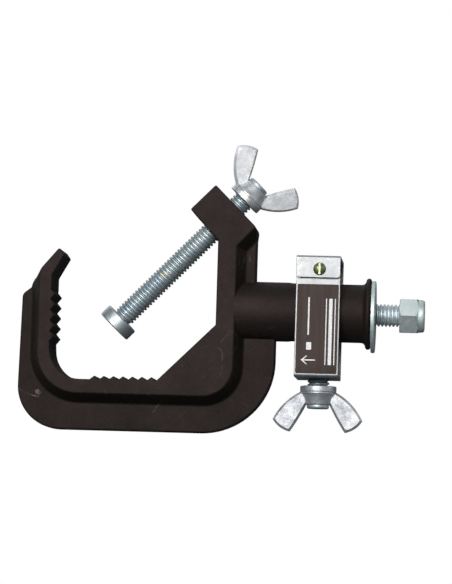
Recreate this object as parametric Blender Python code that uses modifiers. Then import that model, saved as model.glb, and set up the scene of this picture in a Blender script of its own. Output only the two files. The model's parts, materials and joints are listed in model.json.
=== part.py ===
"""Hook clamp for lighting pipes: a cast C-shaped hook, a wing screw that presses the pipe into its
toothed corner, and a locking swivel stem with an M12 stud that carries the lamp's yoke.

Metres, +Z up. The origin is the centre of a 50 mm pipe seated against both rows of teeth, with the
pipe along Y. The swivel stem points along +X.
"""

from math import acos, cos, pi, radians, sin, tan

import bmesh
import bpy
from mathutils import Matrix, Vector

# ---------------------------------------------------------------- driving dimensions

DATUM = Vector((0.0621, 0.0, 0.0125))  # jaw's back wall on the stem's axis: the casting's own zero

FLANGE_HALF_DEPTH = 0.0150
WEB_HALF_DEPTH = 0.0050
FLANGE_DRAFT = 0.0046
DRAFT_OVERRUN = 0.0005  # the drafted flank runs on this far below the web's face

BOSS_RADIUS = 0.0160
BOSS_START = 0.0095
SLEEVE_RADIUS = 0.0157
BORE_RADIUS = 0.0123
BORE_START = 0.0155
RIM_RADIUS = 0.01935
RIM_START = 0.0802
RIM_END = 0.0829
STEM_DROP = 0.0005  # the bearing bore lies this far below the cast tube's own axis

THREAD_RADIUS = 0.00575  # of both wing screws, at the crests
CLEARANCE = 0.0003  # between neighbouring pieces
TAPPED_RADIUS = THREAD_RADIUS + CLEARANCE

CLAMP_PAD_FACE = (-0.05628, -0.01029)  # centre of the pad's pressing face
CLAMP_ANGLE = radians(45.7)  # of the clamp screw above +X
PAD_RADIUS = 0.0100
PAD_THICKNESS = 0.0067
CLAMP_COLLAR = 0.0982  # pad face to the wing nut's base, along the screw
CLAMP_NUT_TURN = radians(20.0)  # its wings' resting angle about the screw

LOCK_X = 0.0556
LOCK_COLLAR_Z = -0.0396
BRAKE_TOP_Z = -0.0105

STRAP_X = (0.0431, 0.0667)
STRAP_THICKNESS = 0.0020
STRAP_HALF_DEPTH = 0.0195
STRAP_TOP_Z = 0.0292
STRAP_BOTTOM_Z = -0.0356
STRAP_BEND = 0.0014  # at the middle of the strip
FLAP_END_Z = 0.0174
STRAP_SCREW = (0.0555, 0.0220)
STRAP_SCREW_HOLE = 0.0023

JOURNAL_RADIUS = 0.0090
BUSH_BORE_RADIUS = 0.0093
BUSH_RADIUS = 0.0120
STUD_RADIUS = 0.0060
STUD_HOLE_RADIUS = STUD_RADIUS + CLEARANCE
STUD_END = 0.1108
PIN_X = 0.0745
PIN_RADIUS = 0.0020

WASHER_X = (0.0832, 0.0853)
WASHER_RADIUS = 0.0194
WASHER_HOLE_RADIUS = 0.0073
WASHER_DROP = 0.0015  # below the cast tube's axis: a loose washer hangs on the stud

NUT_X = (0.0983, 0.1118)
NUT_ACROSS_FLATS = 0.0180

ROUND_STEPS = 36
SMALL_STEPS = 24

PARTS = "pipe_clamp"
TOOLS = "cutters"


# ---------------------------------------------------------------- scene helpers


def clear_scene():
    for item in list(bpy.data.objects):
        bpy.data.objects.remove(item, do_unlink=True)


def collection(name):
    found = bpy.data.collections.new(name)
    bpy.context.scene.collection.children.link(found)
    return found


def finish(name, colour, roughness, metallic):
    material = bpy.data.materials.new(name)
    material.use_nodes = True
    shader = material.node_tree.nodes["Principled BSDF"]
    shader.inputs["Base Color"].default_value = (*colour, 1.0)
    shader.inputs["Roughness"].default_value = roughness
    shader.inputs["Metallic"].default_value = metallic
    return material


def axis_empty(name, place, rotation=None, parent=None):
    """An empty on a joint's axis: its own +Z is the axis."""
    empty = bpy.data.objects.new(name, None)
    empty.empty_display_size = 0.02
    empty.location = place
    if rotation is not None:
        empty.rotation_euler = rotation
    empty.parent = parent
    bpy.data.collections[PARTS].objects.link(empty)
    return empty


def add_object(name, mesh, material=None, parent=None):
    """A piece when it has a material; a hidden cutter or join body when it has none."""
    item = bpy.data.objects.new(name, mesh)
    item.parent = parent
    if material is None:
        item.hide_render = True
        item.display_type = "WIRE"
        bpy.data.collections[TOOLS].objects.link(item)
    else:
        if not mesh.materials:
            mesh.materials.append(material)
        bpy.data.collections[PARTS].objects.link(item)
    return item


def shade(mesh, angle=30.0):
    mesh.shade_smooth()
    mesh.set_sharp_from_angle(angle=radians(angle))
    return mesh


def boolean(target, other, operation):
    modifier = target.modifiers.new(f"{operation.lower()}_{other.name}", "BOOLEAN")
    modifier.operation = operation
    modifier.object = other
    modifier.solver = "EXACT"


def cut(target, *cutters):
    for cutter in cutters:
        boolean(target, cutter, "DIFFERENCE")


def join(target, *others):
    for other in others:
        boolean(target, other, "UNION")


# ---------------------------------------------------------------- outlines


def arc_through(start, middle, end, steps):
    """Points on the circle through three points, from start to end, both included."""
    (ax, ay), (bx, by), (cx, cy) = start, middle, end
    d = 2.0 * (ax * (by - cy) + bx * (cy - ay) + cx * (ay - by))
    a2, b2, c2 = ax * ax + ay * ay, bx * bx + by * by, cx * cx + cy * cy
    ox = (a2 * (by - cy) + b2 * (cy - ay) + c2 * (ay - by)) / d
    oy = (a2 * (cx - bx) + b2 * (ax - cx) + c2 * (bx - ax)) / d
    centre = Vector((ox, oy))
    first = Vector(start) - centre
    sweep = first.angle_signed(Vector(middle) - centre) + (
        Vector(middle) - centre
    ).angle_signed(Vector(end) - centre)
    points = []
    for i in range(steps + 1):
        turn = Matrix.Rotation(-sweep * i / steps, 2)
        points.append(tuple(centre + turn @ first))
    return points


def line_meeting(p, u, q, v):
    """Where the line through p along u meets the line through q along v."""
    cross = u.x * v.y - u.y * v.x
    along = ((q.x - p.x) * v.y - (q.y - p.y) * v.x) / cross
    return p + u * along


def offset_corners(corners, grow):
    """Corners (x, z, radius, drafted) of an anticlockwise outline whose drafted edges move out."""
    count = len(corners)
    places = [Vector(corner[:2]) for corner in corners]
    moved = []
    for i in range(count):
        before = (places[i] - places[i - 1]).normalized()
        after = (places[(i + 1) % count] - places[i]).normalized()
        out_before = Vector((before.y, -before.x)) * (grow if corners[i - 1][3] else 0.0)
        out_after = Vector((after.y, -after.x)) * (grow if corners[i][3] else 0.0)
        turn = before.x * after.y - before.y * after.x
        if abs(turn) < 1e-6:
            place = places[i] + out_after
        else:
            place = line_meeting(places[i] + out_before, before, places[i] + out_after, after)
        radius = corners[i][2]
        if radius and corners[i - 1][3] and corners[i][3]:
            radius += grow if turn > 0 else -min(grow, radius * 0.9)
        moved.append((place.x, place.y, radius))
    return moved


def rounded(corners, steps=None):
    """An outline's points: each corner (x, z, radius) is replaced by its fillet's arc."""
    if steps is None:
        steps = [fillet_steps(corner[2]) for corner in corners]
    points = []
    count = len(corners)
    for i, (x, z, radius) in enumerate(corners):
        corner = Vector((x, z))
        if not steps[i]:
            points.append((x, z))
            continue
        back = (Vector(corners[i - 1][:2]) - corner).normalized()
        ahead = (Vector(corners[(i + 1) % count][:2]) - corner).normalized()
        half = acos(max(-1.0, min(1.0, back.dot(ahead)))) / 2
        reach = radius / tan(half)
        centre = corner + (back + ahead).normalized() * (radius / sin(half))
        first = corner + back * reach - centre
        sweep = first.angle_signed(corner + ahead * reach - centre)
        for k in range(steps[i] + 1):
            points.append(tuple(centre + Matrix.Rotation(-sweep * k / steps[i], 2) @ first))
    return points


def fillet_steps(radius):
    """Flat steps round a fillet; none at a sharp corner."""
    if not radius:
        return 0
    if radius > 0.012:
        return 10
    return 4 if radius > 0.002 else 2


# ---------------------------------------------------------------- solids


def drafted_body(name, corners, levels):
    """A closed body through the outline at each (y, grow) level, flat at the first and last."""
    mesh = bmesh.new()
    rings = []
    steps = [fillet_steps(corner[2]) for corner in corners]
    for y, grow in levels:
        ring = rounded(offset_corners(corners, grow), steps)
        rings.append([mesh.verts.new((x, y, z)) for x, z in ring])
    mesh.faces.new(rings[0])
    mesh.faces.new(list(reversed(rings[-1])))
    count = len(rings[0])
    for lower, upper in zip(rings, rings[1:]):
        for i in range(count):
            j = (i + 1) % count
            mesh.faces.new((lower[j], lower[i], upper[i], upper[j]))
    bmesh.ops.recalc_face_normals(mesh, faces=mesh.faces)
    data = bpy.data.meshes.new(name)
    mesh.to_mesh(data)
    mesh.free()
    return shade(data)


def plate_mesh(name, outline, half_thickness, chamfer=0.0):
    """A flat outline in XZ, thickened both ways along Y; its edges may be chamfered."""
    curve = bpy.data.curves.new(name, "CURVE")
    curve.dimensions = "2D"
    curve.fill_mode = "BOTH"
    curve.extrude = half_thickness - chamfer
    curve.bevel_depth = chamfer
    curve.bevel_resolution = 0
    curve.offset = -chamfer
    curve.render_resolution_u = 0
    spline = curve.splines.new("POLY")
    spline.points.add(len(outline) - 1)
    for point, (x, z) in zip(spline.points, outline):
        point.co = (x, z, 0.0, 1.0)
    spline.use_cyclic_u = True
    item = bpy.data.objects.new(name, curve)
    bpy.context.scene.collection.objects.link(item)
    seen = item.evaluated_get(bpy.context.evaluated_depsgraph_get())
    mesh = bpy.data.meshes.new_from_object(seen)
    bpy.data.objects.remove(item)
    bpy.data.curves.remove(curve)
    weld(mesh)
    mesh.transform(Matrix.Rotation(pi / 2, 4, "X"))
    mesh.name = name
    return shade(mesh)


def weld(mesh):
    body = bmesh.new()
    body.from_mesh(mesh)
    bmesh.ops.remove_doubles(body, verts=body.verts, dist=0.00001)
    bmesh.ops.recalc_face_normals(body, faces=body.faces)
    body.to_mesh(mesh)
    body.free()


def turned(name, profile, material=None, parent=None, steps=ROUND_STEPS, closed=False):
    """A profile (radius, height) turned about Z; it runs down its outer side, top to bottom."""
    mesh = bpy.data.meshes.new(name)
    verts = [(radius, 0.0, height) for radius, height in profile]
    edges = [(i, i + 1) for i in range(len(verts) - 1)]
    if closed:
        edges.append((len(verts) - 1, 0))
    mesh.from_pydata(verts, edges, [])
    item = add_object(name, mesh, material, parent)
    screw = item.modifiers.new("turn", "SCREW")
    screw.axis = "Z"
    screw.angle = 2 * pi
    screw.steps = steps
    screw.render_steps = steps
    screw.use_merge_vertices = True
    screw.merge_threshold = 0.00001
    screw.use_smooth_shade = True
    return item


def ring_profile(outer, inner, low, high, chamfer):
    """A plain ring's section with its outer edges chamfered."""
    return [
        (inner, high),
        (outer - chamfer, high),
        (outer, high - chamfer),
        (outer, low + chamfer),
        (outer - chamfer, low),
        (inner, low),
    ]


def rod_profile(radius, low, high, chamfer):
    """A plain rod's section, from its top's centre to its bottom's centre."""
    return [
        (0.0, high),
        (radius - chamfer, high),
        (radius, high - chamfer),
        (radius, low + chamfer),
        (radius - chamfer, low),
        (0.0, low),
    ]


# ---------------------------------------------------------------- the casting


LEFT_WALL = -0.0880
FLOOR = -0.0397
BACK_WALL = 0.0002
LEFT_TEETH = (5, 0.00568, 0.0056, -0.0868, -0.0891)  # count, pitch, first peak, peak, valley
FLOOR_TEETH = (7, 0.00513, -0.0642, -0.0377, FLOOR)


def tooth_corners(teeth, upright):
    """Peaks and the valleys either side of them, along a wall (downwards) or a floor (to +X)."""
    count, pitch, first, peak, valley = teeth
    step = -pitch if upright else pitch
    corners = []
    for i in range(2 * count + 1):
        along = first + (i - 1) * step / 2
        depth = peak if i % 2 else valley
        place = (depth, along) if upright else (along, depth)
        corners.append((*place, 0.0, False))
    return corners


def flange_corners():
    """The C's full-depth outline, with the screw's block, anticlockwise from the hook's tip."""
    outer = [
        (-0.0854, 0.0310, 0.0010, False),
        (-0.0957, 0.0188, 0.0080, True),
        (-0.0957, -0.0473, 0.0220, True),
        (0.0101, -0.0473, 0.0165, True),
        (0.0103, 0.0338, 0.0015, True),
        (0.0204, 0.0444, 0.0, False),
        (-0.0019, 0.0667, 0.0008, False),
        (-0.0152, 0.0532, 0.0008, False),
        (BACK_WALL, 0.0369, 0.0005, False),
        (BACK_WALL, -0.0088, 0.0010, False),
    ]
    floor = list(reversed(tooth_corners(FLOOR_TEETH, upright=False)))
    corner = [(LEFT_WALL, FLOOR, 0.0165, False)]
    wall = list(reversed(tooth_corners(LEFT_TEETH, upright=True)))
    tip = [
        (-0.0888, 0.0090, 0.0, False),
        (-0.0888, 0.0160, 0.0030, False),
        (-0.0826, 0.0270, 0.0008, False),
    ]
    return outer + floor + corner + wall + tip


def web_corners():
    """The thin outer rib's outline; its inner side lies inside the flange."""
    return [
        (-0.0945, 0.0205, 0.0, False),
        (-0.0981, 0.0124, 0.0050, False),
        (-0.1060, 0.0062, 0.0040, False),
        (-0.1074, -0.0666, 0.0235, False),
        (0.0320, -0.0666, 0.0395, False),
        (0.0320, 0.0, 0.0, False),
        (0.0206, 0.0, 0.0, False),
        (0.0206, 0.0438, 0.0060, False),
        (0.0100, 0.0542, 0.0, False),
        (0.0050, 0.0300, 0.0, False),
        (0.0050, -0.0435, 0.0120, False),
        (-0.0915, -0.0435, 0.0170, False),
        (-0.0915, 0.0190, 0.0, False),
    ]


def trim_corners():
    """Outside of the rounded corner where the block's outer face turns down the back rib."""
    return [
        (0.0205, 0.0050, 0.0, False),
        (0.0400, 0.0050, 0.0, False),
        (0.0400, 0.0600, 0.0, False),
        (0.0150, 0.0600, 0.0, False),
        (0.0100, 0.0550, 0.0, False),
        (0.0205, 0.0445, 0.0060, False),
    ]


def boss_profile():
    """Stem tube from inside the casting out to its end rim, along the stem's axis."""
    fillet = arc_through((0.0173, 0.0799), (0.0164, 0.0793), (SLEEVE_RADIUS, 0.0776), 4)
    return [
        (0.0, RIM_END),
        (RIM_RADIUS - 0.0008, RIM_END),
        (RIM_RADIUS, RIM_END - 0.0008),
        (RIM_RADIUS, RIM_START + 0.0006),
        (RIM_RADIUS - 0.0006, RIM_START),
        *fillet,
        (SLEEVE_RADIUS, 0.0392),
        (BOSS_RADIUS, 0.0391),
        (BOSS_RADIUS, BOSS_START),
        (0.0, BOSS_START),
    ]


def bore_profile():
    """Bearing bore, open at the rim, with the groove for its circlip."""
    groove = BORE_RADIUS + 0.0010
    return [
        (0.0, 0.0900),
        (BORE_RADIUS, 0.0900),
        (BORE_RADIUS, 0.0811),
        (groove, 0.0811),
        (groove, 0.0793),
        (BORE_RADIUS, 0.0793),
        (BORE_RADIUS, BORE_START),
        (0.0, BORE_START),
    ]


def make_casting(axes, material):
    web_grow = FLANGE_DRAFT * (1 + DRAFT_OVERRUN / (FLANGE_HALF_DEPTH - WEB_HALF_DEPTH))
    web_y = WEB_HALF_DEPTH - DRAFT_OVERRUN
    levels = [
        (-FLANGE_HALF_DEPTH, 0.0),
        (-web_y, web_grow),
        (web_y, web_grow),
        (FLANGE_HALF_DEPTH, 0.0),
    ]
    flange = drafted_body("hook_casting", flange_corners(), levels)
    casting = add_object("hook_casting", flange, material, axes["datum"])
    trim_levels = [(-0.0200, 0.0), (0.0200, 0.0)]
    trim = add_object("trim", drafted_body("trim", trim_corners(), trim_levels), parent=axes["datum"])
    web_levels = [(-WEB_HALF_DEPTH, 0.0), (WEB_HALF_DEPTH, 0.0)]
    web = add_object("web", drafted_body("web", web_corners(), web_levels), parent=axes["datum"])
    boss = turned("boss", boss_profile(), parent=axes["tube"])
    bore = turned("bore", bore_profile(), parent=axes["stem"])
    lock_hole = turned("lock_hole", rod_profile(0.0064, 0.0060, 0.0300, 0.0), parent=axes["lock"])
    screw_profile = rod_profile(TAPPED_RADIUS, 0.0500, 0.1200, 0.0)
    screw_hole = turned("screw_hole", screw_profile, parent=axes["clamp"])
    cut(casting, trim)
    join(casting, web, boss)
    cut(casting, bore, lock_hole, screw_hole)


# ---------------------------------------------------------------- wing nuts and screws


def wing_outline():
    """One wing in (across, along) from the nut's base; its root lies inside the hub."""
    outer = arc_through((0.0094, 0.0030), (0.0158, 0.0073), (0.0242, 0.0182), 7)
    tip = arc_through((0.0242, 0.0182), (0.0202, 0.0225), (0.0148, 0.0248), 4)
    inner = arc_through((0.0148, 0.0248), (0.0104, 0.0178), (0.0066, 0.0108), 4)
    return [(0.0068, 0.0030), *outer, *tip[1:], *inner[1:], (0.0064, 0.0060)]


def hub_profile():
    """Wing nut's hub from its outer end down: a cone on a beaded collar."""
    return [
        (0.0, 0.0102),
        (0.0066, 0.0102),
        (0.0072, 0.0098),
        (0.0087, 0.0048),
        (0.0087, 0.0040),
        (0.0094, 0.0036),
        (0.0098, 0.0030),
        (0.0098, 0.0006),
        (0.0092, 0.0),
        (0.0, 0.0),
    ]


def wing_nut_tools():
    """Both wings and the thread's hole, shared by the two wing nuts."""
    right = plate_mesh("wing", wing_outline(), 0.0017, chamfer=0.0004)
    left = right.copy()
    left.transform(Matrix.Rotation(pi, 4, "Z"))
    return right, left


def make_wing_nut(name, wings, base, parent, material, turn=0.0):
    nut = turned(name, hub_profile(), material, parent, steps=SMALL_STEPS)
    nut.location.z = base
    for side, wing in zip(("a", "b"), wings):
        tool = add_object(f"{name}_wing_{side}", wing, parent=parent)
        tool.location.z = base
        tool.rotation_euler.z = turn
        join(nut, tool)
    hole_profile = rod_profile(TAPPED_RADIUS, -0.0020, 0.0125, 0.0)
    hole = turned(f"{name}_hole", hole_profile, parent=parent, steps=SMALL_STEPS)
    hole.location.z = base
    cut(nut, hole)


def screw_profile(tip, collar, peened_radius=0.0060):
    """A wing screw's rod from its peened end, past the wing nut, down to its tip."""
    hub_top = collar + 0.0105
    return [
        (0.0, hub_top + 0.0017),
        (peened_radius - 0.0010, hub_top + 0.0017),
        (peened_radius, hub_top + 0.0008),
        (peened_radius, hub_top),
        (THREAD_RADIUS, hub_top - 0.0003),
        (THREAD_RADIUS, tip + 0.0008),
        (THREAD_RADIUS - 0.0010, tip),
        (0.0, tip),
    ]


def make_clamp_screw(axes, finishes, wings):
    """Rod with a spigot in the pad's socket, held there by a wire ring."""
    parent = axes["clamp"]
    spigot = 0.0040
    groove = 0.0034
    socket = spigot + CLEARANCE
    rod = screw_profile(PAD_THICKNESS + CLEARANCE, CLAMP_COLLAR)[:-1]
    rod += [
        (spigot, PAD_THICKNESS + CLEARANCE),
        (spigot, 0.0046),
        (groove, 0.0046),
        (groove, 0.0033),
        (spigot, 0.0033),
        (spigot, 0.0023),
        (spigot - 0.0004, 0.0019),
        (0.0, 0.0019),
    ]
    turned("clamp_screw", rod, finishes["screw_zinc"], parent, steps=SMALL_STEPS)
    zinc = finishes["wing_zinc"]
    make_wing_nut("clamp_wing_nut", wings, CLAMP_COLLAR, parent, zinc, CLAMP_NUT_TURN)
    ring_groove = socket + 0.0008
    pad = [
        (socket, PAD_THICKNESS),
        (PAD_RADIUS - 0.0007, PAD_THICKNESS),
        (PAD_RADIUS, PAD_THICKNESS - 0.0007),
        (PAD_RADIUS, 0.0007),
        (PAD_RADIUS - 0.0007, 0.0),
        (0.0, 0.0),
    ]
    pad_top = [
        (0.0, 0.0016),
        (socket, 0.0016),
        (socket, 0.0033),
        (ring_groove, 0.0033),
        (ring_groove, 0.0046),
        (socket, 0.0046),
    ]
    turned("pressure_pad", pad + pad_top, finishes["pad_zinc"], parent, steps=SMALL_STEPS, closed=True)
    ring = ring_profile(ring_groove - CLEARANCE, groove + CLEARANCE, 0.0036, 0.0043, 0.0002)
    turned("pad_snap_ring", ring, finishes["spring_steel"], parent, steps=SMALL_STEPS, closed=True)


def make_lock_screw(axes, finishes, wings):
    """Rod with a brass brake pad whose stem sits in a socket in the tip."""
    parent = axes["lock"]
    collar = -LOCK_COLLAR_Z
    disc_low = -BRAKE_TOP_Z
    disc_high = disc_low + 0.0022
    tip = disc_high + CLEARANCE
    stem = 0.0025
    rod = screw_profile(tip, collar)[:-1]
    rod += [
        (stem + CLEARANCE, tip),
        (stem + CLEARANCE, tip + 0.0045),
        (0.0, tip + 0.0045),
    ]
    turned("lock_screw", rod, finishes["screw_zinc"], parent, steps=SMALL_STEPS)
    make_wing_nut("lock_wing_nut", wings, collar, parent, finishes["wing_zinc"])
    brake = [
        (0.0, tip + 0.0040),
        (stem, tip + 0.0040),
        (stem, disc_high),
        (0.0052, disc_high),
        (0.0052, disc_low),
        (0.0, disc_low),
    ]
    turned("brake_pad", brake, finishes["brass"], parent, steps=SMALL_STEPS)


# ---------------------------------------------------------------- strap group


def strap_path():
    """The strip's middle line in (y, z): up the back, over the top, and an outer front flap."""
    half = STRAP_HALF_DEPTH - STRAP_THICKNESS / 2
    top = STRAP_TOP_Z - STRAP_THICKNESS / 2
    bottom = STRAP_BOTTOM_Z + STRAP_THICKNESS / 2
    flap = half + STRAP_THICKNESS + CLEARANCE
    corners = [
        (-half, top - STRAP_THICKNESS - 0.0012, 0.0),
        (-half, bottom, STRAP_BEND),
        (half, bottom, STRAP_BEND),
        (half, top, STRAP_BEND),
        (-flap, top, STRAP_BEND),
        (-flap, FLAP_END_Z, 0.0),
    ]
    return rounded(corners)


def make_strap(axes, finishes):
    mesh = bpy.data.meshes.new("lock_strap")
    path = strap_path()
    left, right = STRAP_X
    verts = [(left, y, z) for y, z in path] + [(right, y, z) for y, z in path]
    count = len(path)
    faces = [(i, i + 1, count + i + 1, count + i) for i in range(count - 1)]
    mesh.from_pydata(verts, [], faces)
    strap = add_object("lock_strap", shade(mesh), finishes["strap_zinc"], axes["datum"])
    thicken = strap.modifiers.new("thickness", "SOLIDIFY")
    thicken.thickness = STRAP_THICKNESS
    thicken.offset = 0.0
    thicken.use_even_offset = True
    thicken.use_rim = True
    bottom_profile = rod_profile(0.0066, 0.0300, 0.0400, 0.0)
    bottom_hole = turned("strap_bottom_hole", bottom_profile, parent=axes["lock"])
    front_profile = rod_profile(STRAP_SCREW_HOLE, -0.0120, 0.0060, 0.0)
    front_hole = turned(
        "strap_front_hole", front_profile, parent=axes["strap_screw"], steps=SMALL_STEPS
    )
    cut(strap, bottom_hole, front_hole)


def make_saddle(axes, finishes):
    """Spacer between the stem's top and the strap, tapped for the strap's screw."""
    seat = SLEEVE_RADIUS + CLEARANCE
    low, high, half = 0.0115, STRAP_TOP_Z - STRAP_THICKNESS - CLEARANCE, 0.0169
    foot = (seat * seat - low * low) ** 0.5
    arch = arc_through((foot, low), (0.0, seat), (-foot, low), 12)
    corners = [
        (half, low, 0.0),
        (half, high, 0.0015),
        (-half, high, 0.0015),
        (-half, low, 0.0),
    ]
    top = rounded(corners)
    outline = [*top, *reversed(arch)]
    mesh = plate_mesh("saddle_block", outline, 0.0100)
    mesh.transform(Matrix.Rotation(pi / 2, 4, "Z"))
    saddle = add_object("saddle_block", mesh, finishes["black_nylon"], axes["datum"])
    saddle.location.x = sum(STRAP_X) / 2
    hole = turned("saddle_hole", rod_profile(STRAP_SCREW_HOLE, -0.0130, 0.0020, 0.0),
                  parent=axes["strap_screw"], steps=SMALL_STEPS)
    cut(saddle, hole)


def make_strap_screw(axes, finishes):
    """Slotted cheese-head screw; +Z of its axis points out of the strap's front."""
    head = 0.0034
    profile = [
        (0.0, 0.0024),
        (head - 0.0005, 0.0024),
        (head, 0.0019),
        (head, 0.0),
        (0.0020, 0.0),
        (0.0020, -0.0122),
        (0.0015, -0.0127),
        (0.0, -0.0127),
    ]
    screw = turned("strap_screw", profile, finishes["yellow_zinc"], axes["strap_screw"], steps=SMALL_STEPS)
    slot = box_mesh("screw_slot", (0.0011, 0.0090, 0.0022))
    cutter = add_object("screw_slot", slot, parent=axes["strap_screw"])
    cutter.location.z = 0.0024
    cut(screw, cutter)


def box_mesh(name, size):
    body = bmesh.new()
    bmesh.ops.create_cube(body, size=1.0)
    bmesh.ops.scale(body, vec=Vector(size), verts=body.verts)
    mesh = bpy.data.meshes.new(name)
    body.to_mesh(mesh)
    body.free()
    return mesh


def make_label(axes, finishes):
    mesh = box_mesh("strap_label", (0.0220, 0.0004, 0.0476))
    label = add_object("strap_label", mesh, finishes["label"], axes["datum"])
    label.location = (0.0549, -STRAP_HALF_DEPTH - CLEARANCE - 0.0002, -0.0099)


def make_captive_nut(axes, finishes):
    """Square nut on the strap's inner floor; the lock screw runs in it."""
    size, height = 0.0190, 0.0098
    mesh = box_mesh("captive_nut", (size, size, height))
    nut = add_object("captive_nut", mesh, finishes["plain_zinc"], axes["datum"])
    floor = STRAP_BOTTOM_Z + STRAP_THICKNESS + CLEARANCE
    nut.location = (LOCK_X, 0.0, floor + height / 2)
    edges = nut.modifiers.new("edges", "BEVEL")
    edges.width = 0.0006
    edges.segments = 1
    hole = turned("captive_nut_hole", rod_profile(TAPPED_RADIUS, 0.0180, 0.0400, 0.0),
                  parent=axes["lock"], steps=SMALL_STEPS)
    cut(nut, hole)


# ---------------------------------------------------------------- swivel inside the stem


def make_spindle(axes, finishes):
    barrel = BORE_RADIUS - 0.0006
    brake = -BRAKE_TOP_Z - CLEARANCE - STEM_DROP
    profile = [
        (STUD_HOLE_RADIUS, 0.0824),
        (JOURNAL_RADIUS - 0.0005, 0.0824),
        (JOURNAL_RADIUS, 0.0819),
        (JOURNAL_RADIUS, 0.0665),
        (barrel, 0.0665),
        (barrel, 0.0636),
        (brake, 0.0616),
        (brake, 0.0508),
        (barrel, 0.0488),
        (barrel, 0.0281),
        (JOURNAL_RADIUS, 0.0281),
        (JOURNAL_RADIUS, 0.0162),
        (0.0, 0.0162),
        (0.0, 0.0517),
        (STUD_HOLE_RADIUS, 0.0517),
    ]
    spindle = turned("spindle", profile, finishes["steel"], axes["stem"], steps=SMALL_STEPS, closed=True)
    cut(spindle, cross_pin_tool("spindle_pin_hole", axes))


def cross_pin_tool(name, axes, radius=PIN_RADIUS + CLEARANCE, half_length=0.0150, material=None):
    """A pin or its hole, across the stem at PIN_X."""
    profile = rod_profile(radius, -half_length, half_length, 0.0004 if material else 0.0)
    pin = turned(name, profile, material, axes["datum"], steps=SMALL_STEPS)
    pin.location = (PIN_X, 0.0, -STEM_DROP)
    pin.rotation_euler = (pi / 2, 0.0, 0.0)
    return pin


def make_stud(axes, finishes):
    profile = rod_profile(STUD_RADIUS, 0.0520, STUD_END, 0.0010)
    stud = turned("mounting_stud", profile, finishes["stud_zinc"], axes["stem"], steps=SMALL_STEPS)
    cut(stud, cross_pin_tool("stud_pin_hole", axes))
    cross_pin_tool("stud_pin", axes, PIN_RADIUS, 0.0085, finishes["spring_steel"])


def make_bearings(axes, finishes):
    stem = axes["stem"]
    rings = [
        ("inner_bush", BUSH_RADIUS, 0.0158, 0.0278, "bronze"),
        ("thrust_washer", BUSH_RADIUS - 0.0002, 0.0668, 0.0680, "plain_zinc"),
        ("outer_bush", BUSH_RADIUS, 0.0683, 0.0790, "bronze"),
    ]
    for name, radius, low, high, surface in rings:
        profile = ring_profile(radius, BUSH_BORE_RADIUS, low, high, 0.0003)
        turned(name, profile, finishes[surface], stem, steps=SMALL_STEPS, closed=True)
    clip = ring_profile(BORE_RADIUS + 0.0007, 0.0102, 0.0796, 0.0808, 0.0002)
    circlip = turned("bore_circlip", clip, finishes["spring_steel"], stem, steps=SMALL_STEPS, closed=True)
    gap = add_object("circlip_gap", box_mesh("circlip_gap", (0.0080, 0.0060, 0.0040)), parent=stem)
    gap.location = (0.0120, 0.0, 0.0802)
    cut(circlip, gap)


def make_plate_washer(axes, finishes):
    low, high = WASHER_X
    profile = ring_profile(WASHER_RADIUS, WASHER_HOLE_RADIUS, low, high, 0.0003)
    turned("plate_washer", profile, finishes["plain_zinc"], axes["washer"], closed=True)


def make_lock_nut(axes, finishes):
    """Hexagon nut with chamfered corners and a domed collar round its nylon ring."""
    low, high = NUT_X
    flat = NUT_ACROSS_FLATS / 2
    corner = flat / cos(pi / 6)
    shoulder = high - 0.0034
    body = bmesh.new()
    rise = Matrix.Translation((0.0, 0.0, (low + shoulder) / 2)) @ Matrix.Rotation(radians(3.0), 4, "Z")
    bmesh.ops.create_cone(body, cap_ends=True, segments=6, radius1=corner, radius2=corner,
                          depth=shoulder - low, matrix=rise)
    mesh = bpy.data.meshes.new("lock_nut")
    body.to_mesh(mesh)
    body.free()
    nut = add_object("lock_nut", mesh, finishes["plain_zinc"], axes["stem"])
    chamfer = [
        (0.0, shoulder + 0.0010),
        (flat, shoulder + 0.0010),
        (flat + 0.0003, shoulder - 0.0004),
        (corner + 0.0002, shoulder - 0.0012),
        (corner + 0.0002, low + 0.0010),
        (flat + 0.0001, low + 0.0002),
        (flat - 0.0002, low - 0.0005),
        (0.0, low - 0.0005),
    ]
    envelope = turned("nut_chamfer", chamfer, parent=axes["stem"], steps=SMALL_STEPS)
    boolean(nut, envelope, "INTERSECT")
    dome = [
        (0.0, high),
        (0.0074, high),
        (0.0082, high - 0.0005),
        (0.0086, high - 0.0014),
        (0.0087, shoulder - 0.0005),
        (0.0, shoulder - 0.0005),
    ]
    join(nut, turned("nut_dome", dome, parent=axes["stem"], steps=SMALL_STEPS))
    seat = 0.0077
    hole = [
        (0.0, high + 0.0020),
        (0.0066, high + 0.0020),
        (0.0066, high - 0.0007),
        (seat, high - 0.0007),
        (seat, high - 0.0039),
        (STUD_HOLE_RADIUS, high - 0.0039),
        (STUD_HOLE_RADIUS, low + 0.0006),
        (STUD_HOLE_RADIUS + 0.0010, low - 0.0004),
        (0.0, low - 0.0004),
    ]
    cut(nut, turned("nut_hole", hole, parent=axes["stem"], steps=SMALL_STEPS))
    insert = ring_profile(seat - CLEARANCE, STUD_HOLE_RADIUS, high - 0.0036, high - 0.0010, 0.0002)
    turned("lock_nut_insert", insert, finishes["white_nylon"], axes["stem"], steps=SMALL_STEPS, closed=True)


# ---------------------------------------------------------------- assembly


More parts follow.
